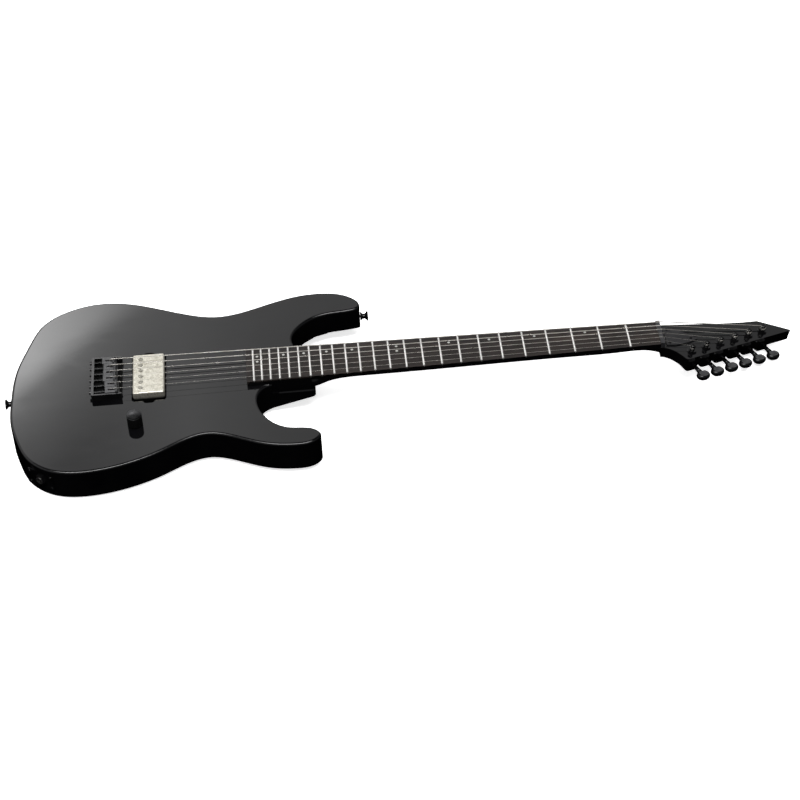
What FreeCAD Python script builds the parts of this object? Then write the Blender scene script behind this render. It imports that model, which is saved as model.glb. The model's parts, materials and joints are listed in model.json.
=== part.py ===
"""Electric guitar: solid double-cutaway body, bolt-on 24-fret neck, reversed pointed headstock, hardtail bridge.

Frame: +X runs along the strings to the headstock, +Y is the bass side, +Z leaves the playing face.
The origin is on the centre line, under the saddle line, on the flat back of the body. Units: mm.
"""

import FreeCAD
import Part
import math
import os

os.makedirs("parts", exist_ok=True)

V = FreeCAD.Vector

# ---- strings and scale ------------------------------------------------------
SCALE = 647.7                    # 25.5 inch scale length
FRETS = 24
STRINGS = 6                      # 1 is the thin treble string, 6 the thick bass one
STRING_R = [0.127, 0.165, 0.216, 0.33, 0.457, 0.584]
SADDLE_PITCH = 10.5
NUT_PITCH = 7.0
STRING_Z_TREBLE = 10.7           # string centre above the body top at the saddles
STRING_Z_BASS = 11.2
STRING_HOLE_X = -8.5             # where the strings go down through the body
STRING_BEND_R = 2.5
CREST_X = [0.4, -0.2, -2.2, -2.0, -1.8, -3.6]

# ---- body -------------------------------------------------------------------
TOP = 40.0                       # body thickness
EDGE_R = 3.0
POCKET_DEPTH = 14.0
POCKET_X = 154.3
HEEL_END_X = 233.5
HEEL_HALF = 29.6
HEEL_SLOPE_X = 172.0             # where the relief under the heel starts
HEEL_SLOPE_Z = 16.5              # its height at the end of the heel
HEEL_CORNER_R = 4.0
SHELF_EDGE = 1.2                 # chamfer round the ledge under the neck's heel
WALL_CLEAR = 0.3
BACK_COVER_T = 2.0

# ---- neck and fretboard -----------------------------------------------------
JOINT_Z = TOP + 1.0              # neck and board meet here
BOARD_T = 6.5
BOARD_R = 350.0
BOARD_END_X = 153.3
NUT_HALF = 21.0
END_HALF = 29.0
NUT_T = 5.0
FRET_H = 1.2
FRET_W = 2.6
TANG_W = 0.6
TANG_D = 1.6
DOT_R = 1.6

# ---- headstock --------------------------------------------------------------
HEAD_TILT = 12.0
HEAD_X = SCALE + NUT_T           # the face starts behind the nut
HEAD_Z = TOP + 0.5
HEAD_T = 15.0
EDGE_ANGLE = 26.8                # tuner edge against the face's own length
POST_ROW_ANGLE = 26.5
POST_PITCH = 22.2
POST_FIRST = (33.0, -22.3)
POST_R = 3.0
POST_TOP = 9.0
WRAP_Z = 3.2                     # windings above the face
WRAP_H = 2.6
WORM_DEPTH = 20.0
WORM_OFFSET = 5.6
BUTTON_REACH = 25.0

# ---- bridge -----------------------------------------------------------------
PLATE_X = (-30.0, 6.0)
PLATE_HALF = 34.0
PLATE_T = 3.0
WALL_H = 8.5
WALL_T = 2.2
REAR_T = 3.0
SADDLE_W = 10.1
SADDLE_BACK = 14.3
SADDLE_FRONT = 3.0
SADDLE_Z = (TOP + 3.7, TOP + 9.2)
SLOT_X = (-10.6, -2.4)
SLOT_W = 2.4
SCREW_Z = TOP + 6.2
SCREW_R = 1.25
STRING_CLEAR = 0.08

# ---- pickup -----------------------------------------------------------------
PICKUP_X = 37.4
PICKUP_SIZE = (37.6, 69.6)
PICKUP_TOP = TOP + 7.5
PICKUP_EDGE_R = 2.0
CAVITY_SIZE = (41.0, 82.0)       # pickup cavity, along and across the strings
EAR_HALF = (6.8, 45.0)           # lobes of the cavity for the pickup's mounting ears
POLE_OFFSET = 9.1
POLE_PITCH = 10.2
POLE_HEAD_R = 2.4
POLE_HOLE_R = 2.8
POLE_TURNS = [-55, 20, -35, 70, -15, 35]    # how the slotted heads were left

# ---- controls ---------------------------------------------------------------
KNOB_XY = (21.5, -80.0)
KNOB_R = 8.9
KNOB_H = 16.6
KNOB_GAP = 0.7
JACK_XY = (-88.4, -139.2)
JACK_AXIS = V(-0.545, -0.838, 0).normalize()
MID_Z = TOP / 2
CAVITY = (-70.0, 46.0, -118.0, -56.0)    # control cavity: x from, x to, y from, y to
CAVITY_TOP = TOP - 6.0


# ---- small makers -----------------------------------------------------------
def box(x0, x1, y0, y1, z0, z1):
    return Part.makeBox(x1 - x0, y1 - y0, z1 - z0, V(x0, y0, z0))


def rod(r, p, q):
    """Round bar from point p to point q."""
    return Part.makeCylinder(r, (q - p).Length, p, q - p)


def upright(r, x, y, z0, z1):
    return Part.makeCylinder(r, z1 - z0, V(x, y, z0))


def hexagon(across, height, base, axis=V(0, 0, 1)):
    """Hexagonal nut blank standing on its base point along its axis."""
    r = across / math.sqrt(3)
    pts = [V(r * math.cos(math.radians(60 * i)), r * math.sin(math.radians(60 * i)), 0) for i in range(7)]
    solid = Part.Face(Part.makePolygon(pts)).extrude(V(0, 0, height))
    return place(solid, base, axis)


def place(shape, base, axis):
    """Turns local +Z to the axis and moves the local origin to the base point."""
    shape.Placement = FreeCAD.Placement(base, FreeCAD.Rotation(V(0, 0, 1), axis))
    return shape


def prism(points, z0, z1):
    """Straight-sided solid on a polygon of (x, y) points."""
    loop = [V(x, y, z0) for x, y in points]
    return Part.Face(Part.makePolygon(loop + loop[:1])).extrude(V(0, 0, z1 - z0))


def rounded_box(x0, x1, y0, y1, z0, z1, r):
    """Box with its four upright edges rounded."""
    solid = box(x0, x1, y0, y1, z0, z1)
    tall = [e for e in solid.Edges if abs(e.Vertexes[0].Z - e.Vertexes[1].Z) > 1e-6]
    return solid.makeFillet(r, tall)


def turned(profile, base=V(0, 0, 0), axis=V(0, 0, 1)):
    """Solid of revolution: profile is (radius, height) points about the axis."""
    loop = [V(r, 0, z) for r, z in profile]
    face = Part.Face(Part.makePolygon(loop + loop[:1]))
    return place(face.revolve(V(0, 0, 0), V(0, 0, 1), 360), base, axis)


def union(shapes):
    return shapes[0].fuse(shapes[1:]).removeSplitter() if len(shapes) > 1 else shapes[0]


def save(name, *shapes):
    solids = [s for shape in shapes for s in shape.Solids]
    bad = [s for s in solids if not s.isValid()]
    print(f"{name}: {len(solids)} solids, {sum(s.Volume for s in solids) / 1000:.2f} cm3, bad {len(bad)}")
    Part.makeCompound(solids).exportStep(f"parts/{name}.step")


# ---- shared geometry --------------------------------------------------------
def fret_x(n):
    """Place of fret n, counted from the nut."""
    return SCALE / 2 ** (n / 12)


def board_half(x):
    """Half width of the fretboard and neck at x."""
    return NUT_HALF + (SCALE - x) * (END_HALF - NUT_HALF) / (SCALE - fret_x(FRETS))


def saddle_y(k):
    return (k - (STRINGS - 1) / 2) * SADDLE_PITCH


def nut_y(k):
    return (k - (STRINGS - 1) / 2) * NUT_PITCH


def saddle_string_z(k):
    return TOP + STRING_Z_TREBLE + (STRING_Z_BASS - STRING_Z_TREBLE) * k / (STRINGS - 1)


def nut_string_z(k):
    crown = nut_y(k) ** 2 / (2 * BOARD_R)
    return JOINT_Z + BOARD_T - crown + FRET_H + 0.25 + STRING_R[k]


HEAD = FreeCAD.Placement(V(HEAD_X, 0, HEAD_Z), FreeCAD.Rotation(V(0, 1, 0), HEAD_TILT))


def on_head(shape):
    """Moves a shape drawn on a flat headstock face (x along it, z out of it) to its tilted place."""
    shape.Placement = HEAD.multiply(shape.Placement)
    return shape


def head_point(x, y, z):
    return HEAD.multVec(V(x, y, z))


def post_xy(k):
    a = math.radians(POST_ROW_ANGLE)
    return (POST_FIRST[0] + k * POST_PITCH * math.cos(a), POST_FIRST[1] + k * POST_PITCH * math.sin(a))


def tuner_frame(k):
    """Placement of tuner k on the flat face: x along the tuner edge, y away from it, z out of the face."""
    x, y = post_xy(k)
    return FreeCAD.Placement(V(x, y, 0), FreeCAD.Rotation(V(0, 0, 1), EDGE_ANGLE))


def on_tuner(shape, k):
    shape.Placement = HEAD.multiply(tuner_frame(k)).multiply(shape.Placement)
    return shape


# ---- body -------------------------------------------------------------------
BASS_SIDE = [
    (215, 34.5), (210, 50), (213, 62), (223, 75.5), (237, 86.5), (259, 93.5), (284, 96.2), (294, 101),
    (295.5, 109), (288, 121), (270, 131.5), (249, 135), (219, 132.8), (188, 123.7), (158, 112.5),
    (121, 105.2), (85, 113.8), (41.5, 132.8), (-4, 146.8), (-34, 146.5), (-64, 136.8), (-92.3, 114.2),
    (-109, 75), (-121, 33), (-125.3, -20),
]
TREBLE_SIDE = [
    (-122.8, -68), (-116.5, -91), (-102.3, -124.6), (-73, -148.5), (-32, -154), (10, -146.3), (51, -129.2),
    (79, -113.2), (105, -106), (132, -113.3), (173, -131.5), (205, -136.3), (228, -131.5), (235.3, -121),
    (229, -111.7), (200, -105), (179, -92), (168.5, -75), (164.3, -57), (167.5, -41), (175, -32.5),
]


def body_outline():
    start = V(222, HEEL_HALF, 0)
    end = V(184, -HEEL_HALF, 0)
    pts = [start] + [V(x, y, 0) for x, y in BASS_SIDE + TREBLE_SIDE] + [end]
    rim = Part.BSplineCurve()
    rim.interpolate(pts)
    r = HEEL_CORNER_R
    low, high = V(HEEL_END_X, r - HEEL_HALF, 0), V(HEEL_END_X, HEEL_HALF - r, 0)
    c = r * (1 - math.sqrt(0.5))
    edges = [
        rim.toShape(),
        Part.makeLine(end, V(HEEL_END_X - r, -HEEL_HALF, 0)),
        Part.Arc(V(HEEL_END_X - r, -HEEL_HALF, 0), V(HEEL_END_X - c, c - HEEL_HALF, 0), low).toShape(),
        Part.makeLine(low, high),
        Part.Arc(high, V(HEEL_END_X - c, HEEL_HALF - c, 0), V(HEEL_END_X - r, HEEL_HALF, 0)).toShape(),
        Part.makeLine(V(HEEL_END_X - r, HEEL_HALF, 0), start),
    ]
    return Part.Wire(edges)


def neck_plan(x0, x1, z0, z1, extra=0.0):
    """Tapered block under the board between two stations, wider by extra on each side."""
    a, b = board_half(x0) + extra, board_half(x1) + extra
    return prism([(x0, -a), (x1, -b), (x1, b), (x0, a)], z0, z1)


def heel_relief():
    """Wedge taken off the back so that the hand reaches the high frets."""
    rise = HEEL_SLOPE_Z / (HEEL_END_X - HEEL_SLOPE_X)
    reach = 20.0
    pts = [
        V(HEEL_SLOPE_X, 0, 0),
        V(HEEL_SLOPE_X, 0, -reach),
        V(HEEL_END_X + reach, 0, -reach),
        V(HEEL_END_X + reach, 0, HEEL_SLOPE_Z + rise * reach),
    ]
    wedge = Part.Face(Part.makePolygon(pts + pts[:1])).extrude(V(0, 100, 0))
    wedge.translate(V(0, -55, 0))
    return wedge


def horn_bevel():
    """Slanted cut along the back of the upper horn's inner edge."""
    inner = [(205, 40), (211, 62), (224, 77), (239, 88), (260, 95), (300, 100)]
    depth, width = 9.0, 15.0
    cuts = []
    for (xa, ya), (xb, yb) in zip(inner, inner[1:]):
        along = V(xb - xa, yb - ya, 0)
        side = V(-along.y, along.x, 0).normalize()
        a, b = V(xa, ya, 0) - along * 0.15, V(xb, yb, 0) + along * 0.15
        tri = [a - side * 8 + V(0, 0, -1), a - side * 8 + V(0, 0, depth * 1.5), a + side * width + V(0, 0, -1)]
        cuts.append(Part.Face(Part.makePolygon(tri + tri[:1])).extrude(b - a))
    return cuts


def pickup_cavity():
    w, h = CAVITY_SIZE
    x0, x1 = PICKUP_X - w / 2, PICKUP_X + w / 2
    main = rounded_box(x0, x1, -h / 2, h / 2, 20, TOP + 1, 4)
    ear_x, ear_y = EAR_HALF
    ears = rounded_box(PICKUP_X - ear_x, PICKUP_X + ear_x, -ear_y, ear_y, 20, TOP + 1, 4)
    return main.fuse(ears)


def control_cavity():
    x0, x1, y0, y1 = CAVITY
    return rounded_box(x0, x1, y0, y1, -1, CAVITY_TOP, 14)


def cover_recess(gap):
    """Shallow step round the control cavity that the back cover fills."""
    x0, x1, y0, y1 = CAVITY
    m = 7.0 - gap
    return rounded_box(x0 - m, x1 + m, y0 - m, y1 + m, -1, BACK_COVER_T + 0.2, 18 - gap)


COVER_SCREWS = [(-73, -87), (-12, -121.5), (49, -87), (-12, -52.5)]
JACK_SCREWS = [(-14.5, 8), (-14.5, -8), (14.5, 8), (14.5, -8)]
BOLTS = [(171, 17.5), (171, -17.5), (213, 17.5), (213, -17.5)]
BRIDGE_SCREWS = [(-24, -21), (-24, 0), (-24, 21), (4, -28.5), (4, 28.5)]
STRAPS = [(V(-125.6, -4, MID_Z - 1), V(-1, 0, 0)), (V(296.0, 107, MID_Z), V(1, 0, 0))]


def bolt_seat(x):
    """Height of the neck bolt ferrule's outer face at x."""
    slope = max(0.0, x + 8.0 - HEEL_SLOPE_X) * HEEL_SLOPE_Z / (HEEL_END_X - HEEL_SLOPE_X)
    return slope if x > HEEL_SLOPE_X else 0.2


def jack_local(shape):
    """Moves a shape drawn about local +Z to the output jack's axis, +Z pointing out of the body's side."""
    turn = FreeCAD.Rotation(V(-JACK_AXIS.y, JACK_AXIS.x, 0), V(0, 0, 1), JACK_AXIS, "ZXY")
    shape.Placement = FreeCAD.Placement(V(JACK_XY[0], JACK_XY[1], MID_Z), turn).multiply(shape.Placement)
    return shape


def make_body():
    body = Part.Face(body_outline()).extrude(V(0, 0, TOP))
    flat = [e for e in body.Edges if abs(e.BoundBox.ZMax - e.BoundBox.ZMin) < 1e-6]
    body = body.makeFillet(EDGE_R, flat)
    floor_z = TOP - POCKET_DEPTH
    tools = [
        neck_plan(POCKET_X - WALL_CLEAR, HEEL_END_X + 2, floor_z, TOP + 1, WALL_CLEAR),
        box(182, 250, -45, -20, floor_z, TOP + 1),
        box(222, 250, -20, 45, floor_z, TOP + 1),
        heel_relief(),
        pickup_cavity(),
        control_cavity(),
        cover_recess(0.0),
        upright(4.85, *KNOB_XY, 0, TOP + 1),
        rod(3.0, V(PICKUP_X, -36, 25), V(PICKUP_X, -60, 25)),
        jack_local(box(-24, 24, -13, 13, -1.4, 12)),
        jack_local(Part.makeCylinder(9.0, 52, V(0, 0, -50))),
    ]
    tools += horn_bevel()
    for k in range(STRINGS):
        y = saddle_y(k)
        tools.append(upright(1.7, STRING_HOLE_X, y, -1, TOP + 1))
        tools.append(upright(4.05, STRING_HOLE_X, y, -1, 12.05))
        tools.append(upright(4.85, STRING_HOLE_X, y, -1, 1.3))
    for x, y in BOLTS:
        seat = bolt_seat(x)
        tools.append(upright(2.6, x, y, 0, TOP))
        tools.append(upright(7.1, x, y, -1, seat + 3.05))
    for x, y in BRIDGE_SCREWS:
        tools.append(upright(1.65, x, y, TOP - 22, TOP + 1))
    for x, y in COVER_SCREWS:
        tools.append(upright(1.15, x, y, 0, 12))
    for y in (-40.5, 40.5):
        tools.append(upright(1.25, PICKUP_X, y, 8, 30))
    for x, y in JACK_SCREWS:
        tools.append(jack_local(Part.makeCylinder(1.15, 14, V(x, y, -12))))
    for base, axis in STRAPS:
        tools.append(rod(1.65, base + axis, base - axis * 28))
    return body.cut(tools + shelf_rim(floor_z))


def shelf_rim(top):
    """Cuts that take the sharp edge off the ledge under the neck's heel: two sides, the end and its corners."""
    c, over, r = SHELF_EDGE, 0.5, HEEL_CORNER_R
    section = [(over, -c - over), (over, over), (-c - over, over)]
    side_x, end_y = HEEL_END_X - r, HEEL_HALF - r
    end = Part.Face(Part.makePolygon([V(HEEL_END_X + a, -end_y, top + b) for a, b in section + section[:1]]))
    cuts = [end.extrude(V(0, 2 * end_y, 0))]
    for s in (-1, 1):
        side = Part.Face(Part.makePolygon([V(226, s * (HEEL_HALF + a), top + b) for a, b in section + section[:1]]))
        cuts.append(side.extrude(V(side_x - 226, 0, 0)))
        ring = turned([(r + a, b) for a, b in section], V(side_x, s * end_y, top))
        quarter = box(side_x, side_x + 2 * r, min(0, s * 2 * r) + s * end_y, max(0, s * 2 * r) + s * end_y,
                      top - 5, top + 5)
        cuts.append(ring.common(quarter))
    near = Part.Face(Part.makePolygon([V(190, -HEEL_HALF - a, top + b) for a, b in section + section[:1]]))
    return cuts + [near.extrude(V(37, 0, 0))]


# ---- neck -------------------------------------------------------------------
def back_curve(half_low, half_high, depth, power, steps=10):
    """Section of the neck below its flat top: points (y, z) from the treble edge round to the bass edge."""
    mid, half = (half_high - half_low) / 2, (half_high + half_low) / 2
    pts = []
    for i in range(steps + 1):
        a = math.pi * i / steps
        s = -math.cos(a)
        pts.append((mid + half * s, -depth * max(0.0, 1 - s * s) ** power))
    return pts


def section(points, placement):
    pts = [placement.multVec(V(0, y, z)) for y, z in points]
    curve = Part.BSplineCurve()
    curve.interpolate(pts)
    return Part.Wire([curve.toShape(), Part.makeLine(pts[-1], pts[0])])


def neck_shaft():
    """Back of the neck, from the heel to under the nut, where it widens into the headstock."""
    stations = [
        (HEEL_END_X - 4, 14.7, 0.1),
        (HEEL_END_X + 6, 14.6, 0.16),
        (HEEL_END_X + 14, 14.5, 0.36),
        (HEEL_END_X + 32, 14.4, 0.78),
        (HEEL_END_X + 60, 13.9, 0.86),
        (430, 13.5, 0.86),
        (530, 12.9, 0.86),
        (600, 12.6, 0.86),
        (632, 12.8, 0.78),
        (641, 14.6, 0.58),
        (647, 16.2, 0.42),
    ]
    wires = []
    for x, depth, power in stations:
        half = board_half(x)
        here = FreeCAD.Placement(V(x, 0, JOINT_Z), FreeCAD.Rotation())
        wires.append(section(back_curve(half, half, depth, power), here))
    lean = FreeCAD.Rotation(V(0, 1, 0), HEAD_TILT)
    for along, low, high, depth, power in ((3.0, 21.0, 21.2, 16.4, 0.36), (20.0, 30.0, 23.0, 14.0, 0.3)):
        wires.append(section(back_curve(low, high, depth, power), FreeCAD.Placement(head_point(along, 0, 0), lean)))
    return Part.makeLoft(wires, True, False)


HEAD_FAR_EDGE = [(0, 21.6), (24, 25.8), (62, 32.0), (130.5, 46.6)]
HEAD_TIP = (172.4, 34.6)
HEAD_TIP_R = 0.8
HEAD_CORNER = (24.5, -39.3)
HEAD_COVE = [(-2, -21.2), (6, -22.3), (14, -27.2)]


def head_plate():
    """Flat headstock blank before it is tilted."""
    far = Part.BSplineCurve()
    far.interpolate([V(x, y, 0) for x, y in HEAD_FAR_EDGE])
    cove = Part.BSplineCurve()
    cove.interpolate([V(x, y, 0) for x, y in HEAD_COVE + [HEAD_CORNER]])
    corner, tip = V(*HEAD_CORNER, 0), V(*HEAD_TIP, 0)
    start, end = V(*HEAD_COVE[0], 0), V(*HEAD_FAR_EDGE[0], 0)
    wire = Part.Wire([
        far.toShape(),
        Part.makeLine(V(*HEAD_FAR_EDGE[-1], 0), tip),
        Part.makeLine(tip, corner),
        cove.toShape(),
        Part.makeLine(start, end),
    ])
    plate = Part.Face(wire).extrude(V(0, 0, -HEAD_T))
    plate = Part.Solid(plate.Shells[0])
    upright_edges = [
        e for e in plate.Edges
        if abs(e.Vertexes[0].Z - e.Vertexes[-1].Z) > 1 and e.Vertexes[0].X > 20
    ]
    at_tip = [e for e in upright_edges if e.Vertexes[0].X > HEAD_TIP[0] - 1]
    plate = plate.makeFillet(3.0, [e for e in upright_edges if e not in at_tip])
    at_tip = [e for e in plate.Edges if min(v.X for v in e.Vertexes) > HEAD_TIP[0] - 1]
    plate = plate.makeFillet(HEAD_TIP_R, at_tip)
    rim = [
        e for e in plate.Edges
        if abs(e.BoundBox.ZMax + HEAD_T) < 1e-4 and e.BoundBox.XMax > 12
    ]
    return on_head(plate.makeFillet(1.5, rim))


def make_neck():
    heel = neck_plan(POCKET_X, HEEL_END_X, TOP - POCKET_DEPTH, JOINT_Z)
    neck = union([heel, neck_shaft(), head_plate()])
    above = on_head(box(0, 200, -80, 80, 0, 60))
    above_joint = box(140, HEAD_X, -80, 80, JOINT_Z, JOINT_Z + 60)
    tools = [above, above_joint, box(170, 656, -3.1, 3.1, JOINT_Z - 8.2, JOINT_Z + 1)]
    tools.append(on_head(rounded_box(-6, 19, -5, 5, -8, 1, 3)))
    for x, y in BOLTS:
        tools.append(upright(2.25, x, y, 0, JOINT_Z - 3.5))
    for k in range(STRINGS):
        tools.append(on_tuner(upright(5.0, 0, 0, -HEAD_T - 5, 1), k))
        tools.append(on_tuner(upright(0.85, 9.0, 5.0, -HEAD_T - 1, -HEAD_T + 8), k))
    for x, y in ROD_COVER_SCREWS:
        tools.append(on_head(upright(1.15, x, y, -9, 1)))
    return neck.cut(tools)


def string_run(k):
    """Ends of a string's straight run from over its saddle to just past the nut."""
    return V(0, saddle_y(k), saddle_string_z(k)), V(HEAD_X + 1.2, nut_y(k), nut_string_z(k))


# ---- fretboard, frets, dots, nut -------------------------------------------
def crowned(profile, half, centre_z):
    """Sweeps an upright profile at y = 0 round the fretboard's cylinder, out to the given half width."""
    angle = math.degrees(math.asin(half / BOARD_R))
    turn = Part.Face(profile)
    turn.rotate(V(0, 0, centre_z), V(1, 0, 0), -angle)
    return turn.revolve(V(0, 0, centre_z), V(1, 0, 0), 2 * angle)


BOARD_TOP = JOINT_Z + BOARD_T
BOARD_AXIS_Z = BOARD_TOP - BOARD_R


def board_blank():
    blank = neck_plan(BOARD_END_X, SCALE, JOINT_Z, BOARD_TOP + 1)
    length = SCALE - BOARD_END_X + 2
    barrel = Part.makeCylinder(BOARD_R, length, V(BOARD_END_X - 1, 0, BOARD_AXIS_Z), V(1, 0, 0))
    return blank.common(barrel)


def tang_profile(x, grow):
    h = TANG_W / 2 + grow
    pts = [(x - h, BOARD_TOP + grow), (x - h, BOARD_TOP - TANG_D - grow)]
    pts += [(x + h, BOARD_TOP - TANG_D - grow), (x + h, BOARD_TOP + grow)]
    loop = [V(a, 0, b) for a, b in pts]
    return Part.makePolygon(loop + loop[:1])


def crown_profile(x):
    h, t = FRET_W / 2, TANG_W / 2
    top = Part.Arc(V(x - h, 0, BOARD_TOP), V(x, 0, BOARD_TOP + FRET_H), V(x + h, 0, BOARD_TOP)).toShape()
    corners = [(x + h, 0), (x + t, 0), (x + t, -TANG_D), (x - t, -TANG_D), (x - t, 0), (x - h, 0)]
    under = Part.makePolygon([V(a, 0, BOARD_TOP + b) for a, b in corners])
    return Part.Wire([top] + under.Edges)


def dot_places():
    places = []
    for n in (3, 5, 7, 9, 12, 15, 17, 19, 21, 24):
        x = (fret_x(n) + fret_x(n - 1)) / 2
        rows = (4, 3) if n in (12, 24) else (4,)
        for k in rows:
            t = x / SCALE
            places.append((x, saddle_y(k) * (1 - t) + nut_y(k) * t))
    return places


def make_board():
    blank = board_blank()
    slots = []
    frets = []
    for n in range(1, FRETS + 1):
        half = board_half(fret_x(n))
        slots.append(crowned(tang_profile(fret_x(n), 0.02), half + 1, BOARD_AXIS_Z))
        frets.append(crowned(crown_profile(fret_x(n)), half - 0.4, BOARD_AXIS_Z))
    drills = [upright(DOT_R, x, y, BOARD_TOP - 2.2, BOARD_TOP + 1) for x, y in dot_places()]
    dots = [blank.common(drill) for drill in drills]
    board = blank.cut(slots + drills)
    save("fretboard", board)
    save("frets", *frets)
    save("inlay_dots", *dots)


def make_nut():
    high = max(nut_string_z(k) for k in range(STRINGS))
    blank = box(SCALE, HEAD_X, -NUT_HALF, NUT_HALF, JOINT_Z, high)
    crown = Part.makeCylinder(BOARD_R, NUT_T + 2, V(SCALE - 1, 0, high - BOARD_R), V(1, 0, 0))
    nut = blank.common(crown)
    slots = []
    for k in range(STRINGS):
        over_saddle, past_nut = string_run(k)
        slots.append(rod(STRING_R[k] + 0.03, over_saddle, past_nut))
    save("nut", nut.cut(slots))


# ---- strings ----------------------------------------------------------------
def string_end(k):
    """Point beside the post's windings where the string reaches them."""
    x, y = post_xy(k)
    reach = POST_R + 2 * STRING_R[k] + 0.15 + STRING_R[k]
    start = (0.0, nut_y(k))
    line = math.atan2(y - start[1], x - start[0])
    distance = math.hypot(x - start[0], y - start[1])
    lead = line + math.asin(reach / distance)
    return head_point(x + reach * math.cos(lead + math.pi / 2), y + reach * math.sin(lead + math.pi / 2),
                      WRAP_Z + WRAP_H / 2)


def eased_path(points, eases):
    """Wire of straight runs whose corners are rounded by tangent arcs; eases are the lengths taken off each run."""
    edges = []
    here = points[0]
    for before, corner, after, ease in zip(points, points[1:], points[2:], eases):
        d_in, d_out = (corner - before).normalize(), (after - corner).normalize()
        half = d_in.getAngle(d_out) / 2
        radius = ease / math.tan(half)
        middle = corner + (d_out - d_in).normalize() * (radius / math.cos(half) - radius)
        first, last = corner - d_in * ease, corner + d_out * ease
        edges += [Part.makeLine(here, first), Part.Arc(first, middle, last).toShape()]
        here = last
    return Part.Wire(edges + [Part.makeLine(here, points[-1])])


def string_solid(k):
    """One string: up through the body, over its saddle and the nut, and down to its post."""
    over_saddle, past_nut = string_run(k)
    y, z = over_saddle.y, over_saddle.z
    points = [V(STRING_HOLE_X, y, 3.4), V(STRING_HOLE_X, y, z), over_saddle, past_nut, string_end(k)]
    path = eased_path(points, [STRING_BEND_R, 1.5, 1.0])
    ring = Part.Wire(Part.makeCircle(STRING_R[k], points[0], V(0, 0, 1)))
    return path.makePipeShell([ring], True, False)


def make_strings():
    solids = [string_solid(k) for k in range(STRINGS)]
    save("strings_plain", *solids[:3])
    save("strings_wound", *solids[3:])
    ferrules, balls = [], []
    for k in range(STRINGS):
        y = saddle_y(k)
        flange = upright(4.75, STRING_HOLE_X, y, 0.2, 1.2)
        cup = flange.fuse(upright(4.0, STRING_HOLE_X, y, 1.2, 12))
        cup = cup.cut([upright(2.6, STRING_HOLE_X, y, 0, 8), upright(1.2, STRING_HOLE_X, y, 7, 13)])
        ferrules.append(cup)
        ball = Part.makeCylinder(1.9, 3.2, V(STRING_HOLE_X, y - 1.6, 5.4), V(0, 1, 0))
        balls.append(ball.cut(upright(STRING_R[k] + 0.03, STRING_HOLE_X, y, 0, 9)))
    save("string_ferrules", *ferrules)
    save("string_ball_ends", *balls)


# ---- bridge -----------------------------------------------------------------
def make_bridge():
    x0, x1 = PLATE_X
    outer = box(x0, x1, -PLATE_HALF, PLATE_HALF, TOP, TOP + WALL_H)
    inner = box(x0 + REAR_T, x1 + 1, WALL_T - PLATE_HALF, PLATE_HALF - WALL_T, TOP + PLATE_T, TOP + 20)
    plate = outer.cut(inner)
    corner = [e for e in plate.Edges if abs(e.Vertexes[0].Z - e.Vertexes[-1].Z) > 5 and e.Vertexes[0].X < x0 + 0.1]
    plate = plate.makeFillet(2.0, corner)
    tools = []
    for k in range(STRINGS):
        tools.append(upright(1.7, STRING_HOLE_X, saddle_y(k), TOP - 1, TOP + 8))
        tools.append(rod(SCREW_R + 0.08, V(x0 - 1, saddle_y(k), SCREW_Z), V(x0 + 6, saddle_y(k), SCREW_Z)))
    for x, y in BRIDGE_SCREWS:
        tools.append(upright(1.75, x, y, TOP - 1, TOP + 4))
        tools.append(upright(3.1, x, y, TOP + 1.6, TOP + 4))
    save("bridge_plate", plate.cut(tools))


def saddle(k):
    """Saddle block with its string slot, screw bore and two height screws."""
    c, y = CREST_X[k], saddle_y(k)
    low, high = SADDLE_Z
    crest = saddle_string_z(k) - STRING_R[k] - STRING_CLEAR
    side = [
        (c - SADDLE_BACK, low), (c - SADDLE_BACK, high - 0.6), (c - SADDLE_BACK + 0.6, high), (c - 2.2, high),
        (c - 0.8, crest - 0.15), (c, crest), (c + 0.8, crest - 0.15), (c + SADDLE_FRONT, high - 1.6),
        (c + SADDLE_FRONT, low),
    ]
    loop = [V(a, y - SADDLE_W / 2, b) for a, b in side]
    block = Part.Face(Part.makePolygon(loop + loop[:1])).extrude(V(0, SADDLE_W, 0))
    slot = box(c + SLOT_X[0], c + SLOT_X[1], y - SLOT_W / 2, y + SLOT_W / 2, low - 1, high + 3)
    bore = rod(SCREW_R + 0.05, V(c - SADDLE_BACK - 1, y, SCREW_Z), V(c + SLOT_X[1], y, SCREW_Z))
    seats = [upright(1.3, c + 1.2, y + s * 3.3, low - 1, high + 2) for s in (-1, 1)]
    block = block.cut([slot, bore] + seats)
    feet = [upright(1.25, c + 1.2, y + s * 3.3, TOP + PLATE_T + 0.05, high - 0.8) for s in (-1, 1)]
    return [block] + feet


def intonation_screw(k):
    """Machine screw whose head bears on the rear wall and whose end sits in the saddle."""
    y = saddle_y(k)
    head_x = PLATE_X[0] - 0.05
    tip = CREST_X[k] - SADDLE_BACK + 3.2
    shank = rod(SCREW_R, V(head_x - 0.5, y, SCREW_Z), V(tip, y, SCREW_Z))
    head = rod(2.3, V(head_x - 2.2, y, SCREW_Z), V(head_x, y, SCREW_Z))
    cross = box(head_x - 3, head_x - 1.3, y - 1.7, y + 1.7, SCREW_Z - 0.3, SCREW_Z + 0.3)
    upright_cut = box(head_x - 3, head_x - 1.3, y - 0.3, y + 0.3, SCREW_Z - 1.7, SCREW_Z + 1.7)
    return head.fuse(shank).cut([cross, upright_cut])


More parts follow.
